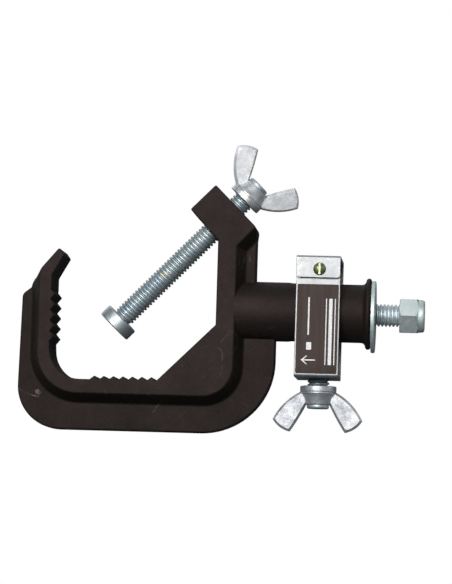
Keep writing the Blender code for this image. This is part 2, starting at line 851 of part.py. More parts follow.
def make_axes():
    """The casting's zero, and each joint's axis as an empty whose +Z points along it."""
    datum = axis_empty("casting_datum", DATUM)
    pad_x, pad_z = CLAMP_PAD_FACE
    front = -STRAP_HALF_DEPTH - STRAP_THICKNESS - 2 * CLEARANCE
    return {
        "datum": datum,
        "tube": axis_empty("tube_axis", (0.0, 0.0, 0.0), (0.0, pi / 2, 0.0), datum),
        "stem": axis_empty("swivel_axis", (0.0, 0.0, -STEM_DROP), (0.0, pi / 2, 0.0), datum),
        "washer": axis_empty("washer_axis", (0.0, 0.0, -WASHER_DROP), (0.0, pi / 2, 0.0), datum),
        "clamp": axis_empty("clamp_axis", (pad_x, 0.0, pad_z), (0.0, pi / 2 - CLAMP_ANGLE, 0.0), datum),
        "lock": axis_empty("lock_axis", (LOCK_X, 0.0, 0.0), (0.0, pi, 0.0), datum),
        "strap_screw": axis_empty("strap_screw_axis", (STRAP_SCREW[0], front, STRAP_SCREW[1]),
                                  (pi / 2, 0.0, 0.0), datum),
    }


def make_finishes():
    return {
        "paint": finish("cast_paint", (0.028, 0.022, 0.021), 0.55, 0.0),
        "screw_zinc": finish("screw_zinc", (0.42, 0.45, 0.50), 0.35, 1.0),
        "stud_zinc": finish("stud_zinc", (0.55, 0.57, 0.60), 0.30, 1.0),
        "wing_zinc": finish("wing_zinc", (0.62, 0.64, 0.67), 0.40, 1.0),
        "pad_zinc": finish("pad_zinc", (0.50, 0.54, 0.56), 0.38, 1.0),
        "strap_zinc": finish("strap_zinc", (0.66, 0.68, 0.70), 0.32, 1.0),
        "plain_zinc": finish("plain_zinc", (0.48, 0.52, 0.51), 0.36, 1.0),
        "yellow_zinc": finish("yellow_zinc", (0.55, 0.55, 0.28), 0.30, 1.0),
        "steel": finish("steel", (0.45, 0.45, 0.46), 0.30, 1.0),
        "spring_steel": finish("spring_steel", (0.12, 0.12, 0.13), 0.40, 1.0),
        "bronze": finish("bronze", (0.45, 0.28, 0.12), 0.45, 1.0),
        "brass": finish("brass", (0.60, 0.45, 0.18), 0.35, 1.0),
        "black_nylon": finish("black_nylon", (0.02, 0.02, 0.02), 0.60, 0.0),
        "white_nylon": finish("white_nylon", (0.70, 0.70, 0.66), 0.50, 0.0),
        "label": finish("label", (0.035, 0.024, 0.022), 0.45, 0.0),
    }


def main():
    clear_scene()
    collection(PARTS)
    collection(TOOLS)
    axes = make_axes()
    finishes = make_finishes()
    wings = wing_nut_tools()
    make_casting(axes, finishes["paint"])
    make_clamp_screw(axes, finishes, wings)
    make_strap(axes, finishes)
    make_saddle(axes, finishes)
    make_strap_screw(axes, finishes)
    make_label(axes, finishes)
    make_captive_nut(axes, finishes)
    make_lock_screw(axes, finishes, wings)
    make_spindle(axes, finishes)
    make_stud(axes, finishes)
    make_bearings(axes, finishes)
    make_plate_washer(axes, finishes)
    make_lock_nut(axes, finishes)


main()
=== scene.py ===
"""Looks of the pipe clamp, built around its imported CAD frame.

Metres, in the frame's own axes. Outlines are given in the casting's frame: X from the jaw's back
wall, Z from the swivel stem's axis. Turned pieces are given as (radius, height) along their axis.
"""

import json
from math import acos, asin, cos, pi, radians, sin, tan

import bmesh
import bpy
from mathutils import Matrix, Vector


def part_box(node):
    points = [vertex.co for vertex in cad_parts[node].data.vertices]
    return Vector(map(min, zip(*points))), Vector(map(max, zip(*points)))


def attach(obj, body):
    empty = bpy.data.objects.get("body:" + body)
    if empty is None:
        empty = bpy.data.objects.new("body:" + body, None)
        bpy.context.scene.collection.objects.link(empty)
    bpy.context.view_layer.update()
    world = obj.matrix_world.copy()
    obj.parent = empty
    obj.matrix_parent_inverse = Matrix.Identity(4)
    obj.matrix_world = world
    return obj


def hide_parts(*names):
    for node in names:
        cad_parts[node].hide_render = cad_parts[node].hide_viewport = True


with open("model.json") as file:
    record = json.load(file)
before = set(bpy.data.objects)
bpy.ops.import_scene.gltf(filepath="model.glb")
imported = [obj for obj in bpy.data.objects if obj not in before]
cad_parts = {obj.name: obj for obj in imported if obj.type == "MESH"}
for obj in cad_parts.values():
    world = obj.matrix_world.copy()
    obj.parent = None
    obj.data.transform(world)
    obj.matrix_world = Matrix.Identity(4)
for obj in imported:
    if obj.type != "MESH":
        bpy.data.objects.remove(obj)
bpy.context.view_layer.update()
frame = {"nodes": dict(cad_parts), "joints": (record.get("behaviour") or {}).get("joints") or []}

DATUM = Vector((0.0621, 0.0, 0.0125))
WELD = 0.000004


# ---------------------------------------------------------------- frames and joint axes


def axis_frame(point, direction):
    """Local frame with +Z along direction, and +Y along the world's +Y where it can be."""
    z = Vector(direction).normalized()
    across = Vector((0.0, 1.0, 0.0)) if abs(z.y) < 0.9 else Vector((0.0, 0.0, 1.0))
    x = across.cross(z).normalized()
    y = z.cross(x)
    turn = Matrix((x, y, z)).transposed().to_4x4()
    return Matrix.Translation(point) @ turn


def joint_frame(name):
    joint = next(j for j in frame["joints"] if j["name"] == name)
    return axis_frame(Vector(joint["pos_m"]), joint["axis"])


CASTING = Matrix.Translation(DATUM)
CLAMP = joint_frame("clamp_turn")
LOCK = joint_frame("lock_turn")
STEM = joint_frame("stem_swivel")
TUBE = axis_frame(DATUM, (1.0, 0.0, 0.0))

# Heights along the lock screw and the stem count from the casting frame's origin.
LOCK.translation.z = DATUM.z
STEM.translation.x = DATUM.x


# ---------------------------------------------------------------- mesh helpers


def new_piece(name, mesh):
    piece = bpy.data.objects.new(name, mesh)
    bpy.context.scene.collection.objects.link(piece)
    return piece


def from_bmesh(name, body, place=None):
    """A mesh datablock from a bmesh, moved into place, with outward normals."""
    bmesh.ops.recalc_face_normals(body, faces=body.faces)
    mesh = bpy.data.meshes.new(name)
    body.to_mesh(mesh)
    body.free()
    if place is not None:
        mesh.transform(place)
    return mesh


def evaluated_mesh(piece):
    """Bakes a piece's modifiers into its mesh."""
    seen = piece.evaluated_get(bpy.context.evaluated_depsgraph_get())
    mesh = bpy.data.meshes.new_from_object(seen)
    mesh.name = piece.name
    piece.modifiers.clear()
    piece.data = mesh
    return piece


def boolean(piece, mesh, operation):
    """Joins or cuts piece with a helper mesh, which is used up."""
    helper = new_piece("helper", mesh)
    modifier = piece.modifiers.new("boolean", "BOOLEAN")
    modifier.operation = operation
    modifier.object = helper
    modifier.solver = "EXACT"
    evaluated_mesh(piece)
    bpy.data.objects.remove(helper)
    return piece


def weld(piece):
    """Merges the near-double points and needle faces that a boolean leaves."""
    body = bmesh.new()
    body.from_mesh(piece.data)
    bmesh.ops.remove_doubles(body, verts=body.verts, dist=WELD)
    bmesh.ops.dissolve_degenerate(body, edges=body.edges, dist=WELD)
    bmesh.ops.triangulate(body, faces=[face for face in body.faces if len(face.verts) > 4])
    bmesh.ops.dissolve_degenerate(body, edges=body.edges, dist=WELD)
    body.to_mesh(piece.data)
    body.free()


def shade(piece, angle):
    """Smooth shading with hard edges where faces meet at more than the angle, in degrees."""
    piece.data.shade_smooth()
    piece.data.set_sharp_from_angle(angle=radians(angle))


def smooth(piece, angle=35.0):
    """Welded smooth shading, with normals that keep flat faces flat."""
    weld(piece)
    shade(piece, angle)
    modifier = piece.modifiers.new("normals", "WEIGHTED_NORMAL")
    modifier.keep_sharp = True
    return evaluated_mesh(piece)


def dress(piece, material, body, replaced):
    """Gives a piece its finish and its body, and hides the CAD node that it stands for."""
    piece.data.materials.clear()
    piece.data.materials.append(material)
    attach(piece, body)
    if replaced:
        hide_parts(replaced)
    return piece


def arc(centre, radius, start, end, steps):
    """Points on an arc, angles in degrees, both ends included."""
    points = []
    for i in range(steps + 1):
        a = radians(start + (end - start) * i / steps)
        points.append((centre[0] + radius * cos(a), centre[1] + radius * sin(a)))
    return points


def arc_through(start, middle, end, steps):
    """Points on the circle through three points, from start to end, both included."""
    (ax, ay), (bx, by), (cx, cy) = start, middle, end
    divisor = 2.0 * (ax * (by - cy) + bx * (cy - ay) + cx * (ay - by))
    square_a, square_b, square_c = ax * ax + ay * ay, bx * bx + by * by, cx * cx + cy * cy
    centre_x = (square_a * (by - cy) + square_b * (cy - ay) + square_c * (ay - by)) / divisor
    centre_y = (square_a * (cx - bx) + square_b * (ax - cx) + square_c * (bx - ax)) / divisor
    centre = Vector((centre_x, centre_y))
    first, second, last = (Vector(point) - centre for point in (start, middle, end))
    sweep = first.angle_signed(second) + second.angle_signed(last)
    points = []
    for i in range(steps + 1):
        points.append(tuple(centre + Matrix.Rotation(-sweep * i / steps, 2) @ first))
    return points


def lathe(name, profile, place, steps=64, closed=False):
    """A profile of (radius, height) turned about the frame's Z; radius 0 closes it on the axis."""
    body = bmesh.new()
    rings = []
    for radius, height in profile:
        if radius < 1e-6:
            rings.append([body.verts.new((0.0, 0.0, height))])
            continue
        ring = []
        for i in range(steps):
            a = 2 * pi * i / steps
            ring.append(body.verts.new((radius * cos(a), radius * sin(a), height)))
        rings.append(ring)
    pairs = list(zip(rings, rings[1:]))
    if closed:
        pairs.append((rings[-1], rings[0]))
    for upper, lower in pairs:
        if len(upper) == 1 and len(lower) == 1:
            continue
        for i in range(steps):
            j = (i + 1) % steps
            if len(upper) == 1:
                body.faces.new((upper[0], lower[i], lower[j]))
            elif len(lower) == 1:
                body.faces.new((upper[j], upper[i], lower[0]))
            else:
                body.faces.new((upper[j], upper[i], lower[i], lower[j]))
    return from_bmesh(name, body, place)


def rod(radius, low, high):
    """Profile of a plain round bar, for a hole."""
    return [(0.0, high), (radius, high), (radius, low), (0.0, low)]


def box(name, low, high, place=None):
    body = bmesh.new()
    bmesh.ops.create_cube(body, size=1.0)
    low, high = Vector(low), Vector(high)
    size = Matrix.Diagonal((*(high - low), 1.0))
    bmesh.ops.transform(body, matrix=Matrix.Translation((low + high) / 2) @ size, verts=body.verts)
    return from_bmesh(name, body, place)


# ---------------------------------------------------------------- outlines and lofts


def offset_corners(corners, drafted, plain):
    """Corners (x, z, radius, is_drafted) with the edges after them moved out by either amount."""
    count = len(corners)
    places = [Vector(corner[:2]) for corner in corners]
    moved = []
    for i in range(count):
        before = (places[i] - places[i - 1]).normalized()
        after = (places[(i + 1) % count] - places[i]).normalized()
        grow_before = drafted if corners[i - 1][3] else plain
        grow_after = drafted if corners[i][3] else plain
        p = places[i] + Vector((before.y, -before.x)) * grow_before
        q = places[i] + Vector((after.y, -after.x)) * grow_after
        turn = before.x * after.y - before.y * after.x
        if abs(turn) > 1e-6:
            along = ((q.x - p.x) * after.y - (q.y - p.y) * after.x) / turn
            q = p + before * along
        radius = corners[i][2]
        both = (grow_before + grow_after) / 2
        radius += both if turn > 0 else -both
        moved.append((q.x, q.y, max(radius, corners[i][2] * 0.2, 0.00005)))
    return moved


def round_steps(radius):
    """How many pieces a fillet is made of."""
    if radius > 0.012:
        return 20
    if radius > 0.0025:
        return 8
    return 3


def rounded(corners, steps):
    """An outline's points: each corner (x, z, radius) is replaced by its fillet's arc."""
    points = []
    count = len(corners)
    for i, (x, z, radius) in enumerate(corners):
        corner = Vector((x, z))
        back = (Vector(corners[i - 1][:2]) - corner).normalized()
        ahead = (Vector(corners[(i + 1) % count][:2]) - corner).normalized()
        half = acos(max(-1.0, min(1.0, back.dot(ahead)))) / 2
        reach = radius / tan(half)
        centre = corner + (back + ahead).normalized() * (radius / sin(half))
        first = corner + back * reach - centre
        sweep = first.angle_signed(corner + ahead * reach - centre)
        for k in range(steps[i] + 1):
            points.append(tuple(centre + Matrix.Rotation(-sweep * k / steps[i], 2) @ first))
    return points


def loft(name, corners, levels, place):
    """A closed body through the outline at each (y, drafted grow, plain grow) level."""
    steps = [round_steps(corner[2]) for corner in corners]
    body = bmesh.new()
    rings = []
    for y, drafted, plain in levels:
        ring = rounded(offset_corners(corners, drafted, plain), steps)
        rings.append([body.verts.new((x, y, z)) for x, z in ring])
    body.faces.new(rings[0])
    body.faces.new(list(reversed(rings[-1])))
    count = len(rings[0])
    for lower, upper in zip(rings, rings[1:]):
        for i in range(count):
            j = (i + 1) % count
            body.faces.new((lower[j], lower[i], upper[i], upper[j]))
    return from_bmesh(name, body, place)


def edge_levels(half, radius, steps=3):
    """Levels that round a plate's front edge, from its flat face to its wall."""
    levels = []
    for k in range(steps + 1):
        a = pi / 2 * k / steps
        levels.append((-half + radius * (1 - cos(a)), -radius * (1 - sin(a))))
    return levels


def mirrored(levels):
    """Adds the same levels on the other side of the middle plane."""
    return levels + [(-y, *rest) for y, *rest in reversed(levels)]


# ---------------------------------------------------------------- the casting

FLANGE_HALF = 0.0150
WEB_HALF = 0.0050
DRAFT = 0.0046
DRAFT_ANGLE = asin(DRAFT / (DRAFT**2 + (FLANGE_HALF - WEB_HALF) ** 2) ** 0.5)
LEFT_WALL = -0.0880
JAW_FLOOR = -0.0397
BACK_WALL = 0.0002
TOOTH_ROUNDING = 0.0003
FLANGE_EDGE = 0.0007
RIB_EDGE = 0.0011
RIB_FILLET = 0.0014
LOCK_HOLE_RADIUS = 0.0064
CLAMP_HOLE_RADIUS = 0.0061


def teeth(count, pitch, first, peak, valley, upright):
    """Peaks and valleys along the jaw's wall (downwards) or its floor (to +X)."""
    step = -pitch if upright else pitch
    corners = []
    for i in range(2 * count + 1):
        along = first + (i - 1) * step / 2
        depth = peak if i % 2 else valley
        place = (depth, along) if upright else (along, depth)
        corners.append((*place, TOOTH_ROUNDING, False))
    return list(reversed(corners))


def flange_corners():
    """The C's full-depth outline with the screw's block, anticlockwise from the hook's tip."""
    outer = [
        (-0.0854, 0.0310, 0.0010, False),
        (-0.0957, 0.0188, 0.0080, True),
        (-0.0957, -0.0473, 0.0220, True),
        (0.0101, -0.0473, 0.0165, True),
        (0.0103, 0.0338, 0.0015, True),
        (0.0204, 0.0444, 0.0002, False),
        (-0.0019, 0.0667, 0.0008, False),
        (-0.0152, 0.0532, 0.0008, False),
        (BACK_WALL, 0.0369, 0.0008, False),
        (BACK_WALL, -0.0088, 0.0010, False),
    ]
    tip = [
        (-0.0888, 0.0090, 0.0008, False),
        (-0.0888, 0.0160, 0.0030, False),
        (-0.0826, 0.0270, 0.0008, False),
    ]
    floor = teeth(7, 0.00513, -0.0642, -0.0377, JAW_FLOOR, upright=False)
    wall = teeth(5, 0.00568, 0.0056, -0.0868, -0.0891, upright=True)
    return outer + floor + [(LEFT_WALL, JAW_FLOOR, 0.0165, False)] + wall + tip


def flange_levels():
    """Front edge's rounding, the drafted flank, and the fillet that meets the rib."""
    slope = DRAFT / (FLANGE_HALF - WEB_HALF)
    levels = []
    for y, inset in edge_levels(FLANGE_HALF, FLANGE_EDGE):
        levels.append((y, slope * (y + FLANGE_HALF) + inset, inset))
    fillet_start = -WEB_HALF - RIB_FILLET * (1 - sin(DRAFT_ANGLE)) + 0.00003
    steps = 4
    for k in range(steps + 1):
        a = DRAFT_ANGLE + (pi / 2 - DRAFT_ANGLE) * k / steps
        y = fillet_start + RIB_FILLET * (sin(a) - sin(DRAFT_ANGLE))
        flare = RIB_FILLET * (cos(DRAFT_ANGLE) - cos(a))
        levels.append((y, slope * (fillet_start + FLANGE_HALF) + flare, 0.0))
    return mirrored(levels)


def rib_corners():
    """The thin outer rib's outline; its inner side lies inside the flange."""
    return [
        (-0.0945, 0.0205, 0.0005, False),
        (-0.0981, 0.0124, 0.0050, False),
        (-0.1060, 0.0062, 0.0040, False),
        (-0.1074, -0.0666, 0.0235, False),
        (0.0320, -0.0666, 0.0395, False),
        (0.0320, 0.0, 0.0005, False),
        (0.0206, 0.0, 0.0005, False),
        (0.0206, 0.0438, 0.0060, False),
        (0.0100, 0.0542, 0.0005, False),
        (0.0050, 0.0300, 0.0005, False),
        (0.0050, -0.0435, 0.0120, False),
        (-0.0915, -0.0435, 0.0170, False),
        (-0.0915, 0.0190, 0.0005, False),
    ]


def corner_trim():
    """What lies outside the rounded corner where the block turns down the back rib."""
    return [
        (0.0205, 0.0050, 0.0001, False),
        (0.0400, 0.0050, 0.0001, False),
        (0.0400, 0.0600, 0.0001, False),
        (0.0150, 0.0600, 0.0001, False),
        (0.0100, 0.0550, 0.0001, False),
        (0.0205, 0.0445, 0.0060, False),
    ]


def stem_profile():
    """The stem's tube from its rounded end rim in to the hook."""
    return [
        (0.0, 0.0829),
        (0.0176, 0.0829),
        *arc((0.01785, 0.08155), 0.0014, 80, -70, 8),
        *arc_through((0.0176, 0.0800), (0.0163, 0.0793), (0.0157, 0.0776), 5),
        (0.0157, 0.0404),
        (0.0160, 0.0384),
        (0.0160, 0.0095),
        (0.0, 0.0095),
    ]


def bore_profile():
    """The stem's bore with the circlip's groove near its mouth."""
    return [
        (0.0, 0.0900),
        (0.0129, 0.0900),
        (0.0129, 0.0830),
        (0.0123, 0.0824),
        (0.0123, 0.0811),
        (0.0133, 0.0811),
        (0.0133, 0.0793),
        (0.0123, 0.0793),
        (0.0123, 0.0155),
        (0.0, 0.0155),
    ]


def make_casting(material):
    casting = new_piece("hook_body", loft("hook_body", flange_corners(), flange_levels(), CASTING))
    past_the_flange = FLANGE_HALF + 0.0050
    trim_levels = mirrored([(-past_the_flange, 0.0, 0.0)])
    boolean(casting, loft("trim", corner_trim(), trim_levels, CASTING), "DIFFERENCE")
    rib_levels = mirrored([(y, inset, inset) for y, inset in edge_levels(WEB_HALF, RIB_EDGE)])
    boolean(casting, loft("rib", rib_corners(), rib_levels, CASTING), "UNION")
    boolean(casting, lathe("stem", stem_profile(), TUBE, 96), "UNION")
    boolean(casting, lathe("bore", bore_profile(), STEM, 72), "DIFFERENCE")
    lock_hole = rod(LOCK_HOLE_RADIUS, 0.0060, 0.0300)
    boolean(casting, lathe("lock_hole", lock_hole, LOCK, 48), "DIFFERENCE")
    clamp_hole = rod(CLAMP_HOLE_RADIUS, 0.0500, 0.1200)
    boolean(casting, lathe("clamp_hole", clamp_hole, CLAMP, 48), "DIFFERENCE")
    smooth(casting)
    return dress(casting, material, "root", "hook_casting")


# ---------------------------------------------------------------- threads and screws

THREAD_PITCH = 0.0020
THREAD_CHAMFER = 0.0012
SCREW_CREST = 0.0059
SCREW_ROOT = 0.0048
STUD_CREST = 0.0060
STUD_ROOT = 0.0049
THREAD_SHADE = 38.0
CLAMP_COLLAR = 0.0982


def thread(low, high, crest, root, steps=32):
    """A right-hand thread as a closed bmesh. Its section is (share of the pitch, radius)."""
    section = [(0.0, root), (0.06, root), (0.38, crest), (0.68, crest)]
    body = bmesh.new()
    first = int((low / THREAD_PITCH - 2) * steps)
    last = int((high / THREAD_PITCH + 1) * steps)
    end_radius = root - 0.0003
    slope = (crest - end_radius) / THREAD_CHAMFER
    columns = []
    for m in range(first, last):
        a = 2 * pi * m / steps
        column = []
        for share, radius in section:
            z = THREAD_PITCH * (m / steps + share)
            z = min(max(z, low), high)
            r = min(radius, end_radius + min(z - low, high - z) * slope)
            column.append(body.verts.new((r * cos(a), r * sin(a), z)))
        columns.append(column)
    for m in range(len(columns) - 1):
        here, there = columns[m], columns[m + 1]
        for j in range(len(section) - 1):
            body.faces.new((here[j], there[j], there[j + 1], here[j + 1]))
        if m + 1 + steps < len(columns):
            up, up_there = columns[m + steps][0], columns[m + 1 + steps][0]
            body.faces.new((here[-1], there[-1], up_there, up))
    bmesh.ops.remove_doubles(body, verts=body.verts, dist=WELD / 2)
    loose = [v for v in body.verts if not v.link_faces]
    bmesh.ops.delete(body, geom=loose, context="VERTS")
    bmesh.ops.holes_fill(body, edges=body.edges, sides=0)
    return body


def add_lathe(body, profile, steps=48):
    """Adds a turned solid to a bmesh that is still in its own axis frame."""
    mesh = lathe("part", profile, None, steps)
    body.from_mesh(mesh)
    bpy.data.meshes.remove(mesh)


def make_screw(name, tip, collar, spigot, place, body_name, replaced, material):
    """Threaded rod with its rounded end standing out of the wing nut's hub."""
    body = thread(tip, collar + 0.0080, SCREW_CREST, SCREW_ROOT)
    end = collar + 0.0105
    head = [
        (0.0, end + 0.00175),
        (0.0042, end + 0.0017),
        *arc((0.0050, end + 0.0007), 0.0010, 75, 0, 4),
        (SCREW_CREST, end - 0.0004),
        (0.0056, end - 0.0014),
        (0.0, end - 0.0014),
    ]
    add_lathe(body, head)
    if spigot:
        add_lathe(body, spigot)
    screw = new_piece(name, from_bmesh(name, body, place))
    shade(screw, THREAD_SHADE)
    return dress(screw, material, body_name, replaced)


def make_clamp_screw(material):
    """The rod with its grooved spigot, in which the pad's snap ring sits."""
    spigot = [
        (0.0, 0.0078),
        (0.0040, 0.0078),
        (0.0040, 0.0046),
        (0.0034, 0.0046),
        (0.0034, 0.0033),
        (0.0040, 0.0033),
        (0.0040, 0.0023),
        (0.0036, 0.0019),
        (0.0, 0.0019),
    ]
    make_screw("clamp_rod_threaded", 0.0070, CLAMP_COLLAR, spigot, CLAMP, "clamp_rod", "clamp_screw",
               material)


def make_pad(material):
    """Turned pad with a recess for the rod's spigot and its ring."""
    profile = [
        (0.0043, 0.0067),
        (0.0090, 0.0067),
        *arc((0.0092, 0.0059), 0.0008, 90, 0, 4),
        *arc((0.0092, 0.0008), 0.0008, 0, -90, 4),
        (0.0070, 0.0),
        (0.0068, 0.0002),
        (0.0, 0.0002),
        (0.0, 0.0016),
        (0.0043, 0.0016),
        (0.0043, 0.0033),
        (0.0051, 0.0033),
        (0.0051, 0.0046),
        (0.0043, 0.0046),
    ]
    pad = new_piece("pad_turned", lathe("pad_turned", profile, CLAMP, 72, closed=True))
    smooth(pad)
    dress(pad, material, "clamp_pad", "pressure_pad")


# ---------------------------------------------------------------- wing nuts

NUT_BORE_RADIUS = 0.0060
CLAMP_NUT_TURN = radians(20.0)
WING_ROOT, WING_REACH = 0.0060, 0.0180
ROOT_SCALE, TIP_SCALE = 1.22, 0.92
HUB_CONE_RADIUS, HUB_CONE_FOOT, HUB_CONE_TAPER = 0.0104, 0.0012, 0.36


def wing_outline():
    """One wing in (across, along), from its root inside the hub round its tip."""
    outer = arc_through((0.0094, 0.0030), (0.0158, 0.0073), (0.0242, 0.0182), 10)
    tip = arc_through((0.0242, 0.0182), (0.0202, 0.0225), (0.0148, 0.0248), 6)
    inner = arc_through((0.0148, 0.0248), (0.0104, 0.0178), (0.0066, 0.0108), 6)
    return [(0.0050, 0.0022), *outer, *tip[1:], *inner[1:], (0.0050, 0.0085)]


def wing_mesh():
    """A forged wing: flat faces with broad bevelled edges; thicker near the hub."""
    corners = [(x, z, 0.0004, False) for x, z in wing_outline()]
    levels = [
        (-0.00180, 0.0, -0.00130),
        (-0.00176, 0.0, -0.00120),
        (-0.00162, 0.0, -0.00106),
        (-0.00062, 0.0, -0.00016),
        (-0.00040, 0.0, -0.00003),
        (-0.00030, 0.0, 0.0),
    ]
    wing = loft("wing", corners, mirrored(levels), None)
    for vertex in wing.vertices:
        share = min(max((vertex.co.x - WING_ROOT) / WING_REACH, 0.0), 1.0)
        vertex.co.y *= ROOT_SCALE + (TIP_SCALE - ROOT_SCALE) * share
    return wing


def hub_profile():
    """The hub from its outer end down: a cone, a bead and a broad collar."""
    return [
        (0.0, 0.0100),
        (0.0060, 0.0100),
        *arc((0.0063, 0.0094), 0.0006, 80, 15, 3),
        (0.0078, 0.0062),
        (0.0086, 0.0049),
        (0.0088, 0.0043),
        *arc((0.0090, 0.00385), 0.0004, 60, -60, 4),
        (0.0092, 0.0033),
        *arc((0.0093, 0.0027), 0.0005, 80, 0, 3),
        (0.0098, 0.0012),
        *arc((0.0093, 0.0005), 0.0005, 0, -90, 3),
        (0.0, 0.0),
    ]


def is_on_wing(place):
    """Whether a point lies outside the cone that just holds the hub."""
    cone = HUB_CONE_RADIUS - HUB_CONE_TAPER * (place.z - HUB_CONE_FOOT)
    return Vector(place[:2]).length > cone


def on_collar(place, collar, turn=0.0):
    """A wing nut's own frame: its screw's, moved along to the collar and turned."""
    return place @ Matrix.Translation((0.0, 0.0, collar)) @ Matrix.Rotation(turn, 4, "Z")


def make_wing_nut(name, place, body_name, replaced, hub_finish, wing_finish):
    nut = new_piece(name, lathe(name, hub_profile(), None, 64))
    for half_turn in (0.0, pi):
        wing = wing_mesh()
        wing.transform(Matrix.Rotation(half_turn, 4, "Z"))
        boolean(nut, wing, "UNION")
    boolean(nut, lathe("hole", rod(NUT_BORE_RADIUS, -0.0020, 0.0130), None, 48), "DIFFERENCE")
    on_wing = [is_on_wing(face.center) for face in nut.data.polygons]
    nut.data.transform(place)
    dress(nut, hub_finish, body_name, replaced)
    nut.data.materials.append(wing_finish)
    for face, wing in zip(nut.data.polygons, on_wing):
        face.material_index = int(wing)
    return smooth(nut, 32.0)


# ---------------------------------------------------------------- strap, label and its screw

STRAP_HALF_DEPTH = 0.0195
STRAP_THICKNESS = 0.0020
STRAP_EDGE = 0.0003
FLAP_GAP = 0.0003
FLAP_CORNER = 0.0020
FLAP_END = 0.0174
STRAP_LOCK_HOLE = 0.0066
STRAP_SCREW_HOLE = 0.0023


def strap_outline(bottom, top):
    """The bent strip seen along X as (y, z, radius) corners: its outer side, then its inner side."""
    outer, inner = STRAP_HALF_DEPTH, STRAP_HALF_DEPTH - STRAP_THICKNESS
    flap_inner = STRAP_HALF_DEPTH + FLAP_GAP
    flap_outer = flap_inner + STRAP_THICKNESS
    start = top - STRAP_THICKNESS - 0.0012
    bend, crease, edge = 0.0014, 0.0004, 0.0002
    corners = [
        (-outer, start, edge),
        (-outer, bottom, bend),
        (outer, bottom, bend),
        (outer, top, bend),
        (-flap_outer, top, bend),
        (-flap_outer, FLAP_END, edge),
        (-flap_inner, FLAP_END, edge),
        (-flap_inner, top - STRAP_THICKNESS, crease),
        (inner, top - STRAP_THICKNESS, crease),
        (inner, bottom + STRAP_THICKNESS, crease),
        (-inner, bottom + STRAP_THICKNESS, crease),
        (-inner, start, edge),
    ]
    return [(*corner, False) for corner in corners]


def flap_corner(x, side):
    """What is cut off a lower corner of the flap; side is -1 at its left edge, 1 at its right."""
    centre = (x - side * FLAP_CORNER, FLAP_END + FLAP_CORNER)
    turned = arc(centre, FLAP_CORNER, -90, -90 + side * 90, 6)
    outside, below = x + side * 0.001, FLAP_END - 0.001
    return turned + [(outside, turned[-1][1]), (outside, below), (turned[0][0], below)]


def across_frame(low, high, y, direction):
    """Frame along Y through the middle of a box, at the given depth."""
    return axis_frame(Vector(((low.x + high.x) / 2, y, (low.z + high.z) / 2)), direction)


def make_strap(material):
    """The bent strip with its flap's rounded corners and its two screw holes."""
    low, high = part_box("lock_strap")
    middle, half_width = (low.x + high.x) / 2, (high.x - low.x) / 2
    outline = strap_outline(low.z - DATUM.z, high.z - DATUM.z)
    levels = mirrored([(y, inset, inset) for y, inset in edge_levels(half_width, STRAP_EDGE)])
    place = Matrix(((0, -1, 0, middle), (1, 0, 0, 0), (0, 0, 1, DATUM.z), (0, 0, 0, 1)))
    strap = new_piece("strap_bent", loft("strap_bent", outline, levels, place))
    cut_front = -STRAP_HALF_DEPTH - 2 * STRAP_THICKNESS
    cut_back = -STRAP_HALF_DEPTH - FLAP_GAP / 2
    for x, side in ((low.x - DATUM.x, -1), (high.x - DATUM.x, 1)):
        corner = slab("corner", flap_corner(x, side), cut_front, cut_back)
        corner.transform(CASTING)
        boolean(strap, corner, "DIFFERENCE")
    lock_hole = rod(STRAP_LOCK_HOLE, 0.0300, 0.0400)
    boolean(strap, lathe("lock_hole", lock_hole, LOCK, 48), "DIFFERENCE")
    screw_hole = rod(STRAP_SCREW_HOLE, 0.0, 0.0140)
    screw_low, screw_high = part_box("strap_screw")
    screw_axis = across_frame(screw_low, screw_high, -0.0300, (0.0, 1.0, 0.0))
    boolean(strap, lathe("screw_hole", screw_hole, screw_axis, 32), "DIFFERENCE")
    smooth(strap, 40.0)
    dress(strap, material, "root", "lock_strap")


def make_strap_screw(material):
    """Domed head with an upright slot, on a plain shank."""
    low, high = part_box("strap_screw")
    place = across_frame(low, high, low.y, (0.0, -1.0, 0.0))
    length = high.y - low.y
    profile = [
        (0.0, 0.0),
        *arc((0.0, -0.0042), 0.0042, 80, 48, 6),
        (0.0031, -0.0015),
        (0.0034, -0.0024),
        (0.0020, -0.0024),
        (0.0020, -length + 0.0005),
        (0.0015, -length),
        (0.0, -length),
    ]
    screw = new_piece("strap_screw_slotted", lathe("strap_screw_slotted", profile, place, 48))
    slot = box("slot", (-0.0005, -0.0060, -0.0013), (0.0005, 0.0060, 0.0010), place)
    boolean(screw, slot, "DIFFERENCE")
    smooth(screw)
    dress(screw, material, "root", "strap_screw")


def slab(name, outline, y_front, y_back):
    """A thin plate in XZ from an outline of (x, z) points."""
    body = bmesh.new()
    front = [body.verts.new((x, y_front, z)) for x, z in outline]
    back = [body.verts.new((x, y_back, z)) for x, z in outline]
    body.faces.new(front)
    body.faces.new(list(reversed(back)))
    for i in range(len(front)):
        j = (i + 1) % len(front)
        body.faces.new((front[j], front[i], back[i], back[j]))
    return from_bmesh(name, body)


def rectangle(x0, z0, x1, z1, radius=0.0004):
    """Outline of a rounded rectangle in XZ."""
    corners = [(x0, z0, radius), (x1, z0, radius), (x1, z1, radius), (x0, z1, radius)]
    return rounded(corners, [3, 3, 3, 3])


